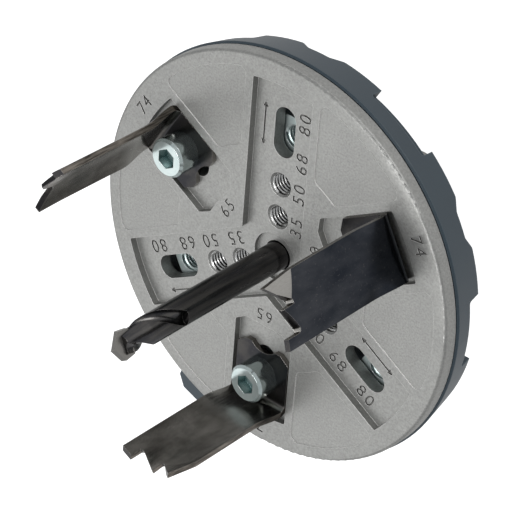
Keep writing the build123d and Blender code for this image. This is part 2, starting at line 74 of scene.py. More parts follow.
print("bare model", [round(v / MM, 2) for v in (bare_high - bare_low)], "mm")

# %% [markdown]
# The camera comes next, because the light is arranged round what it sees. A long lens from about half a
# metre keeps the disc nearly round, as in a catalogue picture. Place and turn were fitted to the
# real tool's known sizes, and the sensor is the default 36 mm wide.

# %% Camera
camera_place = Vector((267.70, 284.52, 364.33)) * MM
camera_turn = Euler([radians(a) for a in (-30.2623, 41.2374, 4.9970)])
camera_focal_length = 179.65
nearest_seen = 10 * MM

camera_data = bpy.data.cameras.new("camera")
camera_data.lens = camera_focal_length
camera_data.clip_start = nearest_seen
camera = bpy.data.objects.new("camera", camera_data)
camera.location = camera_place
camera.rotation_euler = camera_turn
bpy.context.scene.collection.objects.link(camera)
bpy.context.scene.camera = camera

toward_camera = camera_turn.to_matrix() @ Vector((0, 0, 1))
print("camera looks along", [round(v, 3) for v in -toward_camera])

# %% [markdown]
# Two helpers serve every material. Colours are picked as sRGB hex values, which is how a colour reads on a
# screen, but shaders add light in linear values, so one function converts. The other adds one shader node,
# sets its properties and fills its inputs either with a value or with a link from another node.

# %% Colours and nodes
def linear(hex_colour):
    """Linear RGBA from an sRGB hex colour."""
    channels = [int(hex_colour[i:i + 2], 16) / 255 for i in (1, 3, 5)]
    return (*(c / 12.92 if c <= 0.04045 else ((c + 0.055) / 1.055) ** 2.4 for c in channels), 1.0)


def add_node(tree, kind, inputs=None, **settings):
    """Adds a node, sets its properties and fills its inputs from values or other nodes' sockets."""
    node = tree.nodes.new(kind)
    for name, value in settings.items():
        setattr(node, name, value)
    for name, value in (inputs or {}).items():
        if isinstance(value, bpy.types.NodeSocket):
            tree.links.new(value, node.inputs[name])
        else:
            node.inputs[name].default_value = value
    return node


# %% [markdown]
# Every material starts from an empty node tree and ends in one Principled shader, which covers metal and
# plastic alike. These two helpers are the start and the end, and the end tells what was made.

# %% Start and end of a material
def start_material(name):
    """Empty material and its node tree."""
    material = bpy.data.materials.new(name)
    material.use_nodes = True
    material.node_tree.nodes.clear()
    return material, material.node_tree


def finish_material(material, **inputs):
    """Adds the Principled shader and the output."""
    tree = material.node_tree
    named = {name.replace("_", " "): value for name, value in inputs.items()}
    surface = add_node(tree, "ShaderNodeBsdfPrincipled", named)
    add_node(tree, "ShaderNodeOutputMaterial", {"Surface": surface.outputs[0]})
    print("material", material.name, "has", len(tree.nodes), "nodes")


# %% [markdown]
# All patterns read object coordinates, which are metres here, so a noise scale is one over the size of its
# grain. Two colours are blended by such a pattern: a range of the pattern's values is spread from 0 to the
# most that the second colour may show, and that drives the blend.

# %% Grain and tints
def grain(tree, size, detail=2.0, roughness=0.5, stretch=None):
    """Noise whose blobs are about this size, longer along an axis whose stretch is under 1."""
    place = add_node(tree, "ShaderNodeTexCoord").outputs["Object"]
    if stretch:
        place = add_node(tree, "ShaderNodeMapping", {"Vector": place, "Scale": stretch}).outputs[0]
    return add_node(tree, "ShaderNodeTexNoise", {
        "Vector": place, "Scale": 1 / size, "Detail": detail, "Roughness": roughness}).outputs["Fac"]


def tint(tree, pattern, first, second, start=0.0, end=1.0, most=1.0):
    """Goes from the first colour to the second as the pattern goes from start to end."""
    share = add_node(tree, "ShaderNodeMapRange", {
        "Value": pattern, "From Min": start, "From Max": end, "To Max": most}).outputs[0]
    return add_node(tree, "ShaderNodeMix", {"Factor": share, "A": first, "B": second},
                    data_type="RGBA").outputs["Result"]


# %% [markdown]
# Edges matter on metal parts: real ones are slightly rounded and rubbed brighter. The Bevel node rounds the
# shading of an edge without touching the mesh, and how far its normal leans from the true one tells where
# an edge is. The paler colour that each finish gives its edges by this mask is partly real rubbing and partly
# a painted highlight. The rounded normal also carries the bump of each finish.

# %% Worn, highlighted and rounded edges
bevel_samples = 6
edge_agreement, flat_agreement = 0.86, 0.99


def edge_wear_and_highlight(tree, radius):
    """1 on edges and 0 on flats."""
    rounded = add_node(tree, "ShaderNodeBevel", {"Radius": radius}, samples=bevel_samples).outputs[0]
    true_normal = add_node(tree, "ShaderNodeNewGeometry").outputs["Normal"]
    agreement = add_node(tree, "ShaderNodeVectorMath", {0: rounded, 1: true_normal},
                         operation="DOT_PRODUCT").outputs["Value"]
    return add_node(tree, "ShaderNodeMapRange", {
        "Value": agreement, "From Min": edge_agreement, "From Max": flat_agreement,
        "To Min": 1.0, "To Max": 0.0}).outputs[0]


def bumped_normal(tree, height, depth, edge_radius, strength):
    """Normal with rounded edges and this pattern's bumps."""
    rounded = add_node(tree, "ShaderNodeBevel", {"Radius": edge_radius}, samples=bevel_samples).outputs[0]
    return add_node(tree, "ShaderNodeBump", {
        "Height": height, "Distance": depth, "Strength": strength, "Normal": rounded}).outputs[0]


# %% [markdown]
# The disc is die-cast aluminium, bead blasted after casting. Blasting leaves a fine even pitting, which
# scatters reflections, so the metal looks pale and soft rather than mirror-like. The real pits are about
# 0.1 mm across, drawn here at 0.4 mm so that they show. The broken skin scatters part of the light as
# paint does, so it isn't fully metallic. Edges are painted near white, partly as real rubbing and partly as a
# painted highlight. A picture of such metal could be wrapped round the disc, but noise needs no unwrapping
# and stays sharp from close by.

# %% Bead-blasted cast aluminium
pit_size, pit_depth = 0.42 * MM, 0.04 * MM
casting_cloud = 6 * MM
casting_edge, casting_wear_and_highlight_edge = 0.16 * MM, 0.2 * MM

aluminium, tree = start_material("bead_blasted_cast_aluminium")
pits = grain(tree, pit_size, detail=3, roughness=0.65)
clouds = grain(tree, casting_cloud, detail=4, roughness=0.6)
clouded = tint(tree, clouds, linear("#A0A09E"), linear("#B6B6B3"))
speckled = tint(tree, pits, clouded, linear("#7E7E7B"), start=0.35, end=0.75, most=0.7)
# Edges painted near white: partly real rubbing, partly a painted highlight.
rubbed_and_highlit = tint(tree, edge_wear_and_highlight(tree, casting_wear_and_highlight_edge), speckled, linear("#F0EFEC"))
dullness = add_node(tree, "ShaderNodeMapRange", {"Value": clouds, "To Min": 0.42, "To Max": 0.54}).outputs[0]
finish_material(aluminium, Base_Color=rubbed_and_highlit, Metallic=0.8, Roughness=dullness,
                Normal=bumped_normal(tree, pits, pit_depth, casting_edge, strength=0.8))

# %% [markdown]
# Three relatives of that metal are needed where the disc has been worked. The stamped grooves get a darker,
# duller metal, which is painted shade for the recesses. The threads are freshly cut, so they are smooth and
# glint. The walls between their ridges lie in shade, and that shade is painted in as a nearly black metal.

# %% Grooves, threads and bores
smear_size, ripple_size = 0.6 * MM, 0.2 * MM
cut_edge = 0.08 * MM


def worked_aluminium(name, colour, roughness, ripple_depth):
    """Aluminium of one colour, clouded a little with white."""
    material, tree = start_material(name)
    smeared = tint(tree, grain(tree, smear_size, detail=3), linear(colour), linear("#FFFFFF"), most=0.25)
    ripples = grain(tree, ripple_size)
    finish_material(material, Base_Color=smeared, Metallic=1.0, Roughness=roughness,
                    Normal=bumped_normal(tree, ripples, ripple_depth, cut_edge, strength=0.6))
    return material


# Painted shade: the grooves and the walls between thread ridges get darker metal.
groove_shade_metal = worked_aluminium("grooves_with_painted_shade", "#5C5B57", roughness=0.55, ripple_depth=0.02 * MM)
thread_metal = worked_aluminium("cut_threads", "#E2E2E0", roughness=0.22, ripple_depth=0.004 * MM)
bore_metal = worked_aluminium("shaded_bores", "#262524", roughness=0.4, ripple_depth=0.004 * MM)

# %% [markdown]
# The cover behind the disc is moulded in a dark blue-grey plastic with a satin surface. Moulded plastic
# copies the fine spark-eroded grain of its mould, so it gets a shallow bump and broad, dim highlights. Its
# edges are painted a little paler, partly as scuffing and partly as a painted highlight. The mould's grain is
# about 0.15 mm and is drawn at 0.45 mm.

# %% Moulded cover plastic
leather_size, leather_depth = 0.45 * MM, 0.012 * MM
moulding_cloud = 9 * MM
moulded_edge = 0.35 * MM

plastic, tree = start_material("satin_moulded_plastic")
leather = grain(tree, leather_size)
clouds = grain(tree, moulding_cloud, detail=3)
clouded = tint(tree, clouds, linear("#2C3942"), linear("#34424B"))
# Edges painted paler: partly scuffing, partly a painted highlight.
scuffed_and_highlit = tint(tree, edge_wear_and_highlight(tree, moulded_edge), clouded, linear("#6E7F89"), most=0.5)
dullness = add_node(tree, "ShaderNodeMapRange", {"Value": clouds, "To Min": 0.36, "To Max": 0.46}).outputs[0]
finish_material(plastic, Base_Color=scuffed_and_highlit, Roughness=dullness,
                Normal=bumped_normal(tree, leather, leather_depth, moulded_edge, strength=0.6))

# %% [markdown]
# Screws and square nuts are steel with bright zinc plating. Clear passivated zinc has a faint blue-green
# cast and small cloudy spots. Inside a socket and other closed-in places the colour is painted dark teal as
# painted shade, found by an ambient occlusion node, as it tells how closed in a point is. A head's flat face
# is forged and scatters light, and its rolled side mirrors, so faces that look up are less metallic. Nuts are
# tumbled, which makes them duller.

# %% Bright zinc plating
spot_size, scuff_size, scuff_depth = 1.6 * MM, 0.25 * MM, 0.006 * MM
plated_edge = 0.12 * MM
socket_reach = 2.5 * MM
face_up_from, face_up_to = 0.4, 0.8


def zinc_steel(name, smoothest, roughest):
    """Zinc plating whose roughness goes from smoothest to roughest in spots."""
    material, tree = start_material(name)
    spots = grain(tree, spot_size, detail=4, roughness=0.6)
    spotted = tint(tree, spots, linear("#B6C8C8"), linear("#E6EFED"))
    shiny = tint(tree, edge_wear_and_highlight(tree, plated_edge), spotted, linear("#F8FBFA"))
    # Painted shade: closed-in places, a socket most of all, are coloured dark teal.
    openness_for_painted_shade = add_node(tree, "ShaderNodeAmbientOcclusion", {"Distance": socket_reach},
                        samples=8, only_local=True).outputs["AO"]
    colour = tint(tree, openness_for_painted_shade, linear("#5F8585"), shiny, start=0.3, end=0.8)
    true_normal = add_node(tree, "ShaderNodeNewGeometry").outputs["Normal"]
    upward = add_node(tree, "ShaderNodeSeparateXYZ", {0: true_normal}).outputs["Z"]
    metallic = add_node(tree, "ShaderNodeMapRange", {
        "Value": upward, "From Min": face_up_from, "From Max": face_up_to,
        "To Min": 0.96, "To Max": 0.72}).outputs[0]
    dullness = add_node(tree, "ShaderNodeMapRange", {
        "Value": spots, "To Min": smoothest, "To Max": roughest}).outputs[0]
    scuffs = grain(tree, scuff_size)
    finish_material(material, Base_Color=colour, Metallic=metallic, Roughness=dullness,
                    Normal=bumped_normal(tree, scuffs, scuff_depth, plated_edge, strength=0.5))
    return material


zinc = zinc_steel("zinc_plated_steel", smoothest=0.1, roughest=0.22)
tumbled_zinc = zinc_steel("tumbled_zinc_plating", smoothest=0.3, roughest=0.45)

# %% [markdown]
# The shank and collar are turned from bar. The tool leaves fine rings round the axis, which catch the light
# in thin lines. Real ones are about 0.2 mm apart. They are drawn as waves along the axis, 1.6 mm apart, so
# that they show. A wave texture of scale 1 has 20 / tau waves in a metre, and its scale follows from that.

# %% Turned steel
ring_spacing, ring_depth = 1.645 * MM, 0.006 * MM
waves_per_metre = 20 / tau
bar_cloud, turned_edge = 4 * MM, 0.15 * MM

steel, tree = start_material("turned_steel")
place = add_node(tree, "ShaderNodeTexCoord").outputs["Object"]
rings = add_node(tree, "ShaderNodeTexWave", {
    "Vector": place, "Scale": 1 / ring_spacing / waves_per_metre, "Distortion": 0.4, "Detail": 1.0},
    bands_direction="Z").outputs["Fac"]
clouds = grain(tree, bar_cloud, detail=3)
clouded = tint(tree, clouds, linear("#9A9A97"), linear("#B2B2AE"))
rubbed_and_highlit = tint(tree, edge_wear_and_highlight(tree, turned_edge), clouded, linear("#E2E2DF"))
dullness = add_node(tree, "ShaderNodeMapRange", {"Value": clouds, "To Min": 0.24, "To Max": 0.36}).outputs[0]
finish_material(steel, Base_Color=rubbed_and_highlit, Metallic=1.0, Roughness=dullness,
                Normal=bumped_normal(tree, rings, ring_depth, turned_edge, strength=0.5))

# %% [markdown]
# The blades are pressed steel with a dark oxide skin, and their sides are coloured differently, partly with
# painted light. Each side could have its own material, with its faces picked by hand. Here one material
# measures where it is instead, which fits all three blades: how far a face looks away from the tool's axis,
# how far it looks up, and how far a point lies from the band above the bend where a reflection is painted.

# %% Which way a blade's face looks
reflection_band_height, reflection_band_reach = 8.5 * MM, 4.5 * MM
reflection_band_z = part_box("blade_1")[0].z + reflection_band_height

blackened, tree = start_material("black_oxide_steel")
place = add_node(tree, "ShaderNodeTexCoord").outputs["Object"]
true_normal = add_node(tree, "ShaderNodeNewGeometry").outputs["Normal"]
upward = add_node(tree, "ShaderNodeSeparateXYZ", {0: true_normal}).outputs["Z"]
flat_place = add_node(tree, "ShaderNodeVectorMath", {0: place, 1: (1, 1, 0)}, operation="MULTIPLY").outputs[0]
outward = add_node(tree, "ShaderNodeVectorMath", {0: flat_place}, operation="NORMALIZE").outputs[0]
facing = add_node(tree, "ShaderNodeVectorMath", {0: true_normal, 1: outward},
                  operation="DOT_PRODUCT").outputs["Value"]
height = add_node(tree, "ShaderNodeSeparateXYZ", {0: place}).outputs["Z"]
above_band = add_node(tree, "ShaderNodeMath", {0: height, 1: reflection_band_z}, operation="SUBTRACT").outputs[0]
from_band = add_node(tree, "ShaderNodeMath", {0: above_band}, operation="ABSOLUTE").outputs[0]
print("rubbed band at", round(reflection_band_z / MM, 1), "mm")

# %% [markdown]
# Outside, the oxide is blue-black and smooth. Inside, the faces are painted paler and browner, a painted
# reflection of the disc that they face, and paler still in a band above the bend, a painted reflection of
# the screw heads. Sheared edges are brown with marks along them, and the foot's top is nearly black. Long
# rolling marks run up the sheet. They are about 0.1 mm wide on a real one and drawn at 0.35 mm.

# %% Black oxide on the blades
skin_patch, speck_size = 5 * MM, 0.5 * MM
rolling_mark, rolling_depth = 0.35 * MM, 0.008 * MM
sheet_edge = 0.14 * MM

patches = grain(tree, skin_patch, detail=4, roughness=0.6, stretch=(1, 1, 0.5))
marks = grain(tree, rolling_mark, detail=3, stretch=(1, 1, 0.08))
specks = grain(tree, speck_size, detail=3, roughness=0.7)
outside = tint(tree, patches, linear("#2A2E35"), linear("#45474C"), start=0.35, end=0.7)
foot = tint(tree, patches, linear("#343437"), linear("#4C4A48"), start=0.35, end=0.7)
# Painted reflection: inner faces are paler and browner, and paler again in the band above the bend.
painted_inside_reflection = tint(tree, patches, linear("#6E6A66"), linear("#AEAAA5"), start=0.35, end=0.7)
sheared = tint(tree, marks, linear("#3A3632"), linear("#8B847C"), start=0.35, end=0.65)
inside = tint(tree, from_band, painted_inside_reflection, linear("#C9C8C4"), start=reflection_band_reach, end=0.0, most=0.8)
across = tint(tree, upward, sheared, foot, start=0.4, end=0.8)
dark_sides = tint(tree, facing, across, outside, start=0.3, end=0.7)
skin = tint(tree, facing, inside, dark_sides, start=-0.7, end=-0.3)
rubbed_and_highlit = tint(tree, edge_wear_and_highlight(tree, sheet_edge), skin, linear("#B4B0AA"), most=0.75)
speckled = tint(tree, specks, rubbed_and_highlit, linear("#7C7A78"), start=0.62, end=0.75, most=0.5)
dullness = add_node(tree, "ShaderNodeMapRange", {"Value": marks, "To Min": 0.13, "To Max": 0.32}).outputs[0]
finish_material(blackened, Base_Color=speckled, Metallic=1.0, Roughness=dullness,
                Normal=bumped_normal(tree, marks, rolling_depth, sheet_edge, strength=0.5))

# %% [markdown]
# The lead tooth is ground after blackening, so its face is bare steel, paler than the skin round it. Grinding
# leaves fine parallel scratches, which spread a highlight across them. They are drawn at 0.14 mm, coarser
# than real ones.

# %% Ground steel of the lead tooth
tooth_scratch, tooth_scratch_depth, tooth_edge = 0.14 * MM, 0.005 * MM, 0.1 * MM

ground, tree = start_material("ground_steel")
scratches = grain(tree, tooth_scratch, stretch=(1, 1, 0.12))
scratched = tint(tree, scratches, linear("#8D8B87"), linear("#A9A7A3"))
rubbed_and_highlit = tint(tree, edge_wear_and_highlight(tree, tooth_edge), scratched, linear("#D2D0CB"))
finish_material(ground, Base_Color=rubbed_and_highlit, Metallic=1.0, Roughness=0.34,
                Normal=bumped_normal(tree, scratches, tooth_scratch_depth, tooth_edge, strength=0.5))

# %% [markdown]
# The pilot drill is high-speed steel, blackened in steam after grinding. The oxide is thin, so the drill
# stays metallic, and drawing it from the bar leaves streaks along it. Faint rings from grinding are kept
# coarse, 2 mm apart, because real ones are too fine to see. The set screw has the same skin.

# %% Steam-blackened steel of the drill
drill_ring_spacing, drill_ring_depth = 1.974 * MM, 0.004 * MM
drill_patch, drill_streak, drill_edge = 3 * MM, 0.9 * MM, 0.12 * MM

drill_black, tree = start_material("steam_blackened_steel")
place = add_node(tree, "ShaderNodeTexCoord").outputs["Object"]
rings = add_node(tree, "ShaderNodeTexWave", {
    "Vector": place, "Scale": 1 / drill_ring_spacing / waves_per_metre, "Distortion": 2.0, "Detail": 2.0},
    bands_direction="Z").outputs["Fac"]
patches = grain(tree, drill_patch, detail=4, roughness=0.6)
streaks = grain(tree, drill_streak, detail=3, roughness=0.6, stretch=(1, 1, 0.06))
skin = tint(tree, streaks, linear("#454548"), linear("#5E5C5A"), start=0.35, end=0.65)
rubbed_and_highlit = tint(tree, edge_wear_and_highlight(tree, drill_edge), skin, linear("#6F6C68"), most=0.7)
dullness = add_node(tree, "ShaderNodeMapRange", {"Value": patches, "To Min": 0.18, "To Max": 0.3}).outputs[0]
finish_material(drill_black, Base_Color=rubbed_and_highlit, Metallic=1.0, Roughness=dullness,
                Normal=bumped_normal(tree, rings, drill_ring_depth, drill_edge, strength=0.4))

# %% [markdown]
# The plate in the drill's tip is tungsten carbide, a sintered mix of hard grains in cobalt. It is duller and
# browner than steel, a little less metallic, and it is ground with a diamond wheel, so its scratches all
# run the same way.

# %% Ground carbide of the drill's tip
carbide_scratch, carbide_scratch_depth, carbide_edge = 0.12 * MM, 0.004 * MM, 0.08 * MM

tip_grey, tree = start_material("ground_carbide")
scratches = grain(tree, carbide_scratch, stretch=(1, 0.15, 1))
scratched = tint(tree, scratches, linear("#8E8C88"), linear("#A09D99"))
rubbed_and_highlit = tint(tree, edge_wear_and_highlight(tree, carbide_edge), scratched, linear("#A5A29B"))
finish_material(tip_grey, Base_Color=rubbed_and_highlit, Metallic=0.9, Roughness=0.38,
                Normal=bumped_normal(tree, scratches, carbide_scratch_depth, carbide_edge, strength=0.5))

# %% [markdown]
# Every solid of the model now gets its finish. A table from the name of a piece to its material says at a
# glance what the tool is made of, and the pieces that come in threes are added by a loop.

# %% Finish every piece
finishes = {
    "carrier_disc": aluminium,
    "back_cover": plastic,
    "cover_screws": zinc,
    "arbor": steel,
    "arbor_washer": zinc,
    "arbor_lock_nut": zinc,
    "drill_set_screw": drill_black,
    "pilot_drill": drill_black,
    "drill_tip": tip_grey,
}
for number in (1, 2, 3):
    finishes[f"blade_screw_{number}"] = zinc
    finishes[f"blade_nut_{number}"] = tumbled_zinc
    finishes[f"slot_nut_{number}"] = tumbled_zinc
for name, material in finishes.items():
    mesh = frame["nodes"][name].data
    mesh.materials.clear()
    mesh.materials.append(material)
print("finished", len(finishes), "pieces")

# %% [markdown]
# The cut diameters are stamped into the disc: 35, 50, 68 and 80 along each channel, and 65 and 74 on each
# spoke between. Each place on the disc is a distance along its channel or spoke and a distance to the left
# of it, so one small matrix serves every number and arrow. New meshes all become objects in one way.

# %% New objects, and places on the disc
channel_azimuths = (90, 210, 330)
spoke_azimuths = (30, 150, 270)


def mesh_object(name, bm):
    """New object from a bmesh, with its place in its mesh."""
    mesh = bpy.data.meshes.new(name)
    bm.to_mesh(mesh)
    bm.free()
    made = bpy.data.objects.new(name, mesh)
    bpy.context.scene.collection.objects.link(made)
    return made


def turned_place(azimuth, along, left, level, turn=0):
    """Matrix for something lying on the disc, read outwards, with its top to the left."""
    return (Matrix.Rotation(radians(azimuth), 4, "Z") @ Matrix.Translation((along, left, level))
            @ Matrix.Rotation(radians(turn), 4, "Z"))


mounts = {mount["name"]: mount for mount in frame["record"]["mounts"]}
face_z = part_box("carrier_disc")[1].z
channel_floor_z = mounts["blade_holes_35"]["pos_m"][2]
print("the channels are", round((face_z - channel_floor_z) / MM, 2), "mm deep")

# %% [markdown]
# A stamped figure is a groove. Drawing it as a real groove, and not as a dark colour, keeps it true from
# every side. Blender's own font is plain enough. A figure is a text curve that has been given thickness
# and made a mesh, as thick above its plane as below it, so that it can be taken out of a surface.

# %% Figures as thin solids
groove_depth = 0.3 * MM
figure_spacing = 1.25
figure_share_of_size = 0.72
curve_steps = 4


def figure_mesh(text, height):
    """Mesh of a number lying in the XY plane, centred."""
    curve = bpy.data.curves.new("figure", "FONT")
    curve.body = text
    curve.size = height / figure_share_of_size
    curve.align_x = "CENTER"
    curve.align_y = "CENTER"
    curve.space_character = figure_spacing
    curve.extrude = groove_depth
    curve.resolution_u = curve_steps
    holder = bpy.data.objects.new("figure", curve)
    bpy.context.scene.collection.objects.link(holder)
    bpy.context.view_layer.update()
    mesh = bpy.data.meshes.new_from_object(holder.evaluated_get(bpy.context.evaluated_depsgraph_get()))
    bpy.data.objects.remove(holder)
    return mesh


# %% [markdown]
# All the numbers are gathered into one cutter, the stamp. It carries the grooves' metal, which the cut later
# leaves on their walls. The spoke numbers are turned by a hair less than a right angle, because a figure that
# lies exactly along the mesh's own lines leaves points that the later cuts trip over.

# %% Stamp with every number
merge_distance = 0.002 * MM
number_height, spoke_number_height = 3.0 * MM, 2.8 * MM
number_left = -5.0 * MM
number_places = {"35": 9.15 * MM, "50": 16.9 * MM, "68": 24.0 * MM, "80": 32.9 * MM}
spoke_number_places = {"65": 13.5 * MM, "74": 41.0 * MM}
spoke_number_turn = -89.7

stamp_bm = bmesh.new()


def add_number(text, height, place):
    """Adds a number to the stamp."""
    mesh = figure_mesh(text, height)
    mesh.transform(place)
    stamp_bm.from_mesh(mesh)
    bpy.data.meshes.remove(mesh)


for azimuth in channel_azimuths:
    for text, along in number_places.items():
        add_number(text, number_height, turned_place(azimuth, along, number_left, channel_floor_z))
for azimuth in spoke_azimuths:
    for text, along in spoke_number_places.items():
        add_number(text, spoke_number_height, turned_place(azimuth, along, 0, face_z, spoke_number_turn))
bmesh.ops.remove_doubles(stamp_bm, verts=stamp_bm.verts, dist=merge_distance)
stamp = mesh_object("stamp", stamp_bm)
stamp.data.materials.append(groove_shade_metal)
print("the stamp has", len(stamp.data.polygons), "faces")

# %% [markdown]
# The arrow beside each slot shows the way a nut slides. It is one thin line with two barbs at each end.
# Bars that cross with floors at one level would confuse the cut, so there is a cutter for each kind of bar:
# the lines, the left barbs and the right barbs. Each is a little shallower than the one before.

# %% Arrow cutters
arrow_left = 5.2 * MM
arrow_inner, arrow_outer = 24.5 * MM, 33.7 * MM
arrow_width, arrow_barb, arrow_tip = 0.35 * MM, 1.1 * MM, 0.08 * MM
barb_turns = (155, -155)
shallower = 0.07 * groove_depth


def bar(bm, length, depth, place):
    """Adds a thin bar from a place along its own X axis, as deep below it as above."""
    made = bmesh.ops.create_cube(bm, size=1.0)
    size = Matrix.Diagonal((length, arrow_width, 2 * depth, 1))
    bmesh.ops.transform(bm, verts=made["verts"], matrix=place @ Matrix.Translation((length / 2, 0, 0)) @ size)


cutters = [bmesh.new() for _ in range(1 + len(barb_turns))]
for azimuth in channel_azimuths:
    line_place = turned_place(azimuth, arrow_inner, arrow_left, channel_floor_z)
    bar(cutters[0], arrow_outer - arrow_inner, groove_depth, line_place)
    for kind, turn in enumerate(barb_turns, start=1):
        for along, end_turn in ((arrow_outer + arrow_tip, turn), (arrow_inner - arrow_tip, turn + 180)):
            barb_place = turned_place(azimuth, along, arrow_left, channel_floor_z, end_turn)
            bar(cutters[kind], arrow_barb, groove_depth - shallower * kind, barb_place)
arrow_cutters = [mesh_object(f"arrow_bars_{kind}", bm) for kind, bm in enumerate(cutters)]
for tool in arrow_cutters:
    tool.data.materials.append(groove_shade_metal)
print("arrow cutters have", [len(tool.data.polygons) for tool in arrow_cutters], "faces")

# %% [markdown]
# The marks are cut from a copy of the disc. A solid's mesh is loose triangles, so the copy is merged first.
# The shallow panels are raised to the depth that the photograph's soft shadows suggest, and faces round each
# tapped hole get the shaded metal.

# %% Merged copy of the disc
panel_depth, soft_panel_depth = 0.3 * MM, 0.16 * MM
level_tolerance = 0.01 * MM
tapped_hole_reach = 2.4 * MM

hole_centres = []
for azimuth in channel_azimuths:
    for pattern in ("blade_holes_35", "blade_holes_50"):
        radius = mounts[pattern]["dims"]["pcd_mm"] / 2 * MM
        hole_centres.append((Matrix.Rotation(radians(azimuth), 4, "Z") @ Vector((radius, 0, 0))).xy)

disc_bm = bmesh.new()
disc_bm.from_mesh(frame["nodes"]["carrier_disc"].data)
bmesh.ops.remove_doubles(disc_bm, verts=disc_bm.verts, dist=merge_distance)
for vert in disc_bm.verts:
    if abs(vert.co.z - (face_z - panel_depth)) < level_tolerance:
        vert.co.z = face_z - soft_panel_depth
for face in disc_bm.faces:
    middle = face.calc_center_median().xy
    if any((centre - middle).length < tapped_hole_reach for centre in hole_centres):
        face.material_index = 1
marked_disc = mesh_object("marked_disc", disc_bm)
marked_disc.data.materials.append(aluminium)
marked_disc.data.materials.append(bore_metal)
print("copy of the disc has", len(marked_disc.data.polygons), "faces and", len(hole_centres), "tapped holes")

# %% [markdown]
# A Boolean modifier takes each cutter out in turn. Its exact solver copes with thin figures, and transfer
# brings the cutter's metal to the new walls. The result is taken as a mesh, so that no modifier is left live.

# %% Cut the marks
tools = [*arrow_cutters, stamp]
for tool in tools:
    cut = marked_disc.modifiers.new(f"cut_{tool.name}", "BOOLEAN")
    cut.operation = "DIFFERENCE"
    cut.solver = "EXACT"
    cut.material_mode = "TRANSFER"
    cut.object = tool
bpy.context.view_layer.update()
cut_mesh = bpy.data.meshes.new_from_object(marked_disc.evaluated_get(bpy.context.evaluated_depsgraph_get()))
marked_disc.modifiers.clear()
marked_disc.data = cut_mesh
for tool in tools:
    bpy.data.objects.remove(tool)
print("marked disc has", len(cut_mesh.polygons), "faces")

# %% [markdown]
# The copy's stored normals no longer fit after the cut, so they are dropped. Smooth shading with edges over
# 30 degrees marked sharp keeps flats flat and round walls round, and it serves every new mesh here. The disc
# then rides on the carrier and takes the solid's place.

# %% Shading by angle, and the finished disc
sharp_angle = radians(30)


def shade_by_angle(mesh):
    """Smooth faces that stay sharp where they meet at more than the sharp angle."""
    stored_normals = mesh.attributes.get("custom_normal")
    if stored_normals:
        mesh.attributes.remove(stored_normals)
    for polygon in mesh.polygons:
        polygon.use_smooth = True
    mesh.set_sharp_from_angle(angle=sharp_angle)


shade_by_angle(cut_mesh)
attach(marked_disc, "carrier")
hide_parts("carrier_disc")
print("marked disc has", sum(p.material_index > 1 for p in cut_mesh.polygons), "groove faces")

# %% [markdown]
# The holes for the small cuts are tapped, and the thread shows as bright ridges on the lit side. A thread is
# a triangle carried round an axis while it climbs by one pitch a turn, which is what spin does when it is
# given a step along the axis. A bump pattern would do from afar, but ridges hide one another at a slant, as
# real ones do. The base lies a hair inside the wall of the solid's plain hole, and the ridge is slimmer than
# a real one, so that a dark gap shows between its turns.

# %% Thread maker
thread_pitch = 0.8 * MM
thread_steps = 24
half_ridge = 0.26 * thread_pitch


def thread_ridge(bm, centre, top, bottom, wall_radius, crest_radius):
    """Adds one climbing ridge inside a hole, closed at both ends."""
    steps = round((top - bottom - 2 * half_ridge) / thread_pitch * thread_steps)
    low = bottom + half_ridge
    x, y = centre
    section = [bm.verts.new((x + wall_radius, y, low - half_ridge)),
               bm.verts.new((x + crest_radius, y, low)),
               bm.verts.new((x + wall_radius, y, low + half_ridge))]
    edges = [bm.edges.new((section[i], section[(i + 1) % 3])) for i in range(3)]
    spun = bmesh.ops.spin(bm, geom=section + edges, cent=(x, y, 0), axis=(0, 0, 1),
                          dvec=(0, 0, thread_pitch / thread_steps), angle=tau * steps / thread_steps,
                          steps=steps, use_merge=False, use_duplicate=False)
    bm.faces.new(section)
    bm.faces.new([v for v in spun["geom_last"] if isinstance(v, bmesh.types.BMVert)])


def threads(name, holes, material):
    """One object with the ridges of these holes."""
    bm = bmesh.new()
    for hole in holes:
        thread_ridge(bm, *hole)
    bmesh.ops.recalc_face_normals(bm, faces=bm.faces)
    made = mesh_object(name, bm)
    shade_by_angle(made.data)
    made.data.materials.append(material)
    print(name, "has", len(made.data.polygons), "faces")
    return made


# %% [markdown]
# In the disc the thread starts half a chamfer below the channel's floor, and one object holds all six. Each
# spare nut slides by itself, so its thread is an object of its own that rides with it. The screws are M5, and
# the solids' plain holes have a radius of 2.275 mm in the disc and 2.54 mm in the nuts.

# %% Threads of the tapped holes and the spare nuts
disc_back_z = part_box("carrier_disc")[0].z
mouth_chamfer = 0.45 * MM
thread_top_z = channel_floor_z - mouth_chamfer / 2
hole_wall, hole_crest = 2.29 * MM, 1.98 * MM
nut_wall, nut_crest = 2.55 * MM, 2.15 * MM

tapped_holes = [(centre, thread_top_z, disc_back_z, hole_wall, hole_crest) for centre in hole_centres]
hole_threads = threads("hole_threads", tapped_holes, thread_metal)
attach(hole_threads, "carrier")
for number in (1, 2, 3):
    low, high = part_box(f"slot_nut_{number}")
    nut_hole = (((low + high) / 2).xy, high.z, low.z, nut_wall, nut_crest)
    nut_threads = threads(f"nut_threads_{number}", [nut_hole], tumbled_zinc)
    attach(nut_threads, f"spare_nut_{number}")

# %% [markdown]
# Each blade is bent straight across at its foot and only curves further up, so its side edges swing inwards
# over the first centimetre, while the solid is curved all the way down. A new blade could be drawn, but a
# copy of the solid keeps its teeth, gullets and hole exact. The merged copy is turned to face along X, where
# its curve is a plain function of Y, and its lower part is sliced into thin bands, because a flat face can
# only be reshaped where it has points.

# %% Blade copy and slices
band = 0.8 * MM
slice_tolerance = 0.0005 * MM


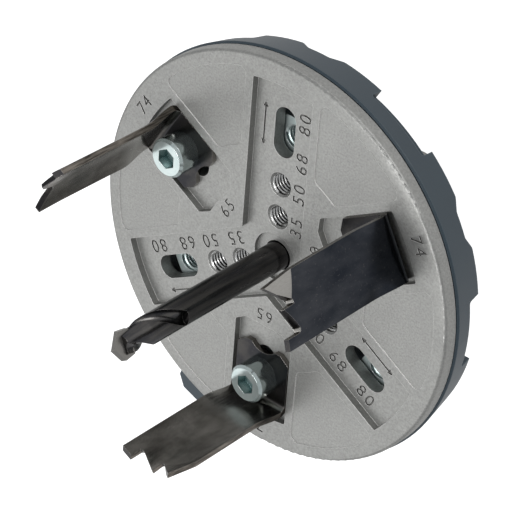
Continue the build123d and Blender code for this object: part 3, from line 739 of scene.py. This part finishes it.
def blade_copy(number):
    """Merged copy of a blade facing along X, and the turn that takes it back."""
    low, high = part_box(f"blade_screw_{number}")
    screw = ((low + high) / 2).xy
    turn = Matrix.Rotation(screw.angle_signed(Vector((1, 0))), 4, "Z")
    bm = bmesh.new()
    bm.from_mesh(frame["nodes"][f"blade_{number}"].data)
    bmesh.ops.remove_doubles(bm, verts=bm.verts, dist=merge_distance)
    bmesh.ops.transform(bm, matrix=turn.inverted(), verts=bm.verts)
    bm.normal_update()
    return bm, turn


def slice_mesh(bm, direction, level, last):
    """Adds edges round the mesh, a band apart, up to the last level."""
    while level < last:
        bmesh.ops.bisect_plane(bm, geom=bm.verts[:] + bm.edges[:] + bm.faces[:], dist=slice_tolerance,
                               plane_co=direction * level, plane_no=direction)
        level += band


# %% [markdown]
# Each point near the bend is then pushed outwards by the curve's own depth at its Y, fully at the bend and
# not at all from 11 mm up, and only in the wall, not in the foot. Smooth ramps join these. The lead tooth
# leans inwards, so its outer face is the one that looks outwards and a little up, and gets the ground steel.

# %% Straight bend and ground tooth
wall_curve = 17.5 * MM
bend_height, curved_from = 2.0 * MM, 11.0 * MM
push_start, push_end = 2.6 * MM, 3.8 * MM
ground_outward, ground_upward = 0.5, 0.05


def ramp(value, start, end):
    """Smooth step from 0 at start to 1 at end."""
    share = min(max((value - start) / (end - start), 0), 1)
    return share * share * (3 - 2 * share)


def straighten_bend(bm, foot_z, wall_x):
    """Pushes the lower wall outwards, to lie straight across at the bend."""
    for vert in bm.verts:
        x, y, z = vert.co
        curve_depth = wall_curve - (wall_curve ** 2 - y ** 2) ** 0.5
        height_share = 1 - ramp(z - foot_z, bend_height, curved_from)
        wall_share = 1 - ramp(wall_x - curve_depth - x, push_start, push_end)
        vert.co.x += curve_depth * height_share * wall_share


def mark_ground_faces(bm):
    """Gives the lead tooth's outer face the second material."""
    for face in bm.faces:
        if face.normal.x > ground_outward and face.normal.z > ground_upward:
            face.material_index = 1


# %% [markdown]
# The three blades are alike but for their place, so a loop dresses them. Each rides with its own blade set
# and takes the place of its solid.

# %% Dressed blades
for number in (1, 2, 3):
    bm, turn = blade_copy(number)
    foot_z = min(v.co.z for v in bm.verts)
    wall_x = max(v.co.x for v in bm.verts)
    half_width = max(v.co.y for v in bm.verts)
    slice_mesh(bm, Vector((0, 0, 1)), foot_z + bend_height, foot_z + curved_from + band)
    slice_mesh(bm, Vector((0, 1, 0)), band - half_width, half_width)
    mark_ground_faces(bm)
    straighten_bend(bm, foot_z, wall_x)
    bmesh.ops.transform(bm, matrix=turn, verts=bm.verts)
    dressed = mesh_object(f"dressed_blade_{number}", bm)
    shade_by_angle(dressed.data)
    dressed.data.materials.append(blackened)
    dressed.data.materials.append(ground)
    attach(dressed, f"blade_set_{number}")
    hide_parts(f"blade_{number}")
    ground_count = sum(p.material_index for p in dressed.data.polygons)
    print(dressed.name, "has", len(dressed.data.polygons), "faces,", ground_count, "of them ground")

# %% [markdown]
# The set is a table lit to plain white, as in a catalogue picture. Metal mirrors whatever is round it, and a
# white table would wash it out, so the table glows fully to the camera and less than half as much to
# everything else. It is clear from below, so that the back of the tool can be looked at too.

# %% Floor
floor_size = 3.0

floor_bm = bmesh.new()
bmesh.ops.create_grid(floor_bm, x_segments=1, y_segments=1, size=floor_size / 2)
bmesh.ops.translate(floor_bm, verts=floor_bm.verts, vec=(0, 0, bare_low.z))
floor = mesh_object("floor", floor_bm)
table, tree = start_material("white_table")
seen_by_camera = add_node(tree, "ShaderNodeLightPath").outputs["Is Camera Ray"]
seen_from_below = add_node(tree, "ShaderNodeNewGeometry").outputs["Backfacing"]
glow = add_node(tree, "ShaderNodeMapRange", {
    "Value": seen_by_camera, "To Min": 0.4, "To Max": 1.0}).outputs[0]
presence = add_node(tree, "ShaderNodeMapRange", {
    "Value": seen_from_below, "To Min": 1.0, "To Max": 0.0}).outputs[0]
finish_material(table, Base_Color=linear("#A0A0A0"), Roughness=0.8, Emission_Color=linear("#FFFFFF"),
                Emission_Strength=glow, Alpha=presence)
floor.data.materials.append(table)
print("floor at", round(bare_low.z / MM, 2), "mm")

# %% [markdown]
# Three soft lamps stand round the tool: one where the flat face mirrors it, one overhead, which draws the
# bright line on the disc's rounded edge, and a low one beside, for the cover's side. Square lamps suit metal,
# because their mirror image has soft, even edges. The first one stands where the camera would, turned half
# way round the tool.

# %% Lamps
lamp_distance = 0.8


def softbox(name, direction, size, power):
    """Square lamp in this direction from the tool, aimed at it."""
    lamp = bpy.data.lights.new(name, "AREA")
    lamp.energy = power
    lamp.size = size
    holder = bpy.data.objects.new(name, lamp)
    away = Vector(direction).normalized()
    holder.location = away * lamp_distance
    holder.rotation_euler = away.to_track_quat("Z", "Y").to_euler()
    bpy.context.scene.collection.objects.link(holder)
    print(name, "at", [round(v, 2) for v in holder.location], "m")


mirrored = (-toward_camera.x, -toward_camera.y, toward_camera.z)
softbox("face_lamp", mirrored, size=0.6, power=0.97)
softbox("overhead_lamp", (-0.02, 0.0, 1.0), size=0.4, power=2.7)
softbox("low_lamp", (0.5, 0.8, 0.12), size=0.3, power=1.5)

# %% [markdown]
# A pale world lights what the lamps don't reach, as a room's walls would. The standard view keeps colours as
# they were picked, where a film-like view would grey the white table.

# %% Surrounding light
room_strength = 0.45

world = bpy.data.worlds.new("studio")
world.use_nodes = True
background = world.node_tree.nodes["Background"]
background.inputs["Color"].default_value = linear("#F2F4F6")
background.inputs["Strength"].default_value = room_strength
bpy.context.scene.world = world
bpy.context.scene.view_settings.view_transform = "Standard"
print("room light", room_strength)
